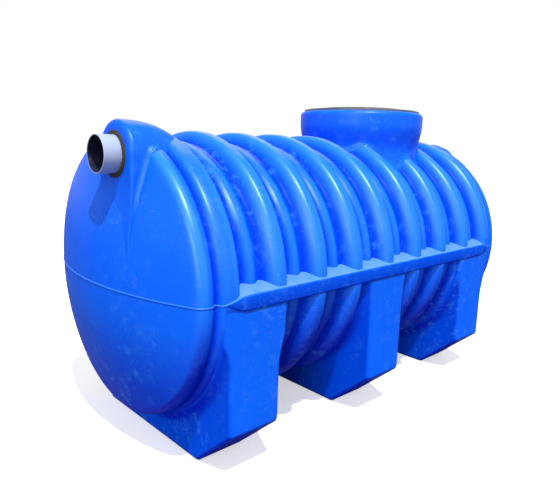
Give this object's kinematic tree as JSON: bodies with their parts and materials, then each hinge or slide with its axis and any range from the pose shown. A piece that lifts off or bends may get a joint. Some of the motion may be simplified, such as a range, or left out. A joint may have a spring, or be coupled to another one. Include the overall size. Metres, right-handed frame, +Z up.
{
  "type": "septic tank",
  "caption": "Ribbed horizontal septic tank with domed ends, a manhole neck and lid, a pipe stub at each end, side ledges and saddle feet.",
  "frame": {"origin": "on the floor below the middle rib, at the centre of the tank's plan", "axes": "+X along the tank from the inlet end to the outlet end, +Z up, -Y the near side of the picture"},
  "size_m": [1.854, 0.934, 1.1363],
  "materials": {
    "tank_blue": "satin rotationally moulded polyethylene, scuffed and dusty",
    "pipe_grey": "smooth plain plastic pipe",
    "seal_rubber": "matt black rubber",
    "lid_dark": "dark grey moulded plastic with light dust"
  },
  "bodies": {
    "tank": {"barrel_inlet_far_belly": "tank_blue", "barrel_inlet_far_crown": "tank_blue", "barrel_inlet_far_flank": "tank_blue", "barrel_inlet_far_side": "tank_blue", "barrel_inlet_near_belly": "tank_blue", "barrel_inlet_near_crown": "tank_blue", "barrel_inlet_near_flank": "tank_blue", "barrel_inlet_near_side": "tank_blue", "barrel_outlet_far_belly": "tank_blue", "barrel_outlet_far_crown": "tank_blue", "barrel_outlet_far_flank": "tank_blue", "barrel_outlet_far_side": "tank_blue", "barrel_outlet_near_belly": "tank_blue", "barrel_outlet_near_crown": "tank_blue", "barrel_outlet_near_flank": "tank_blue", "barrel_outlet_near_side": "tank_blue", "foot_inlet_far": "tank_blue", "foot_inlet_near": "tank_blue", "foot_middle_far": "tank_blue", "foot_middle_near": "tank_blue", "foot_outlet_far": "tank_blue", "foot_outlet_near": "tank_blue", "inlet_end_lower": "tank_blue", "inlet_end_upper": "tank_blue", "inlet_hood": "tank_blue", "inlet_pipe": "pipe_grey", "inlet_seal": "seal_rubber", "ledge_far": "tank_blue", "ledge_near": "tank_blue", "manhole_neck": "tank_blue", "outlet_end_lower": "tank_blue", "outlet_end_upper": "tank_blue", "outlet_hood": "tank_blue", "outlet_pipe": "pipe_grey", "outlet_seal": "seal_rubber"},
    "lid": {"manhole_lid": "lid_dark"}
  },
  "joints": [
    {"name": "lid_lift", "type": "slide", "parent": "tank", "child": "lid", "axis": [0, 0, 1], "range_m": [0, 0.3]}
  ]
}
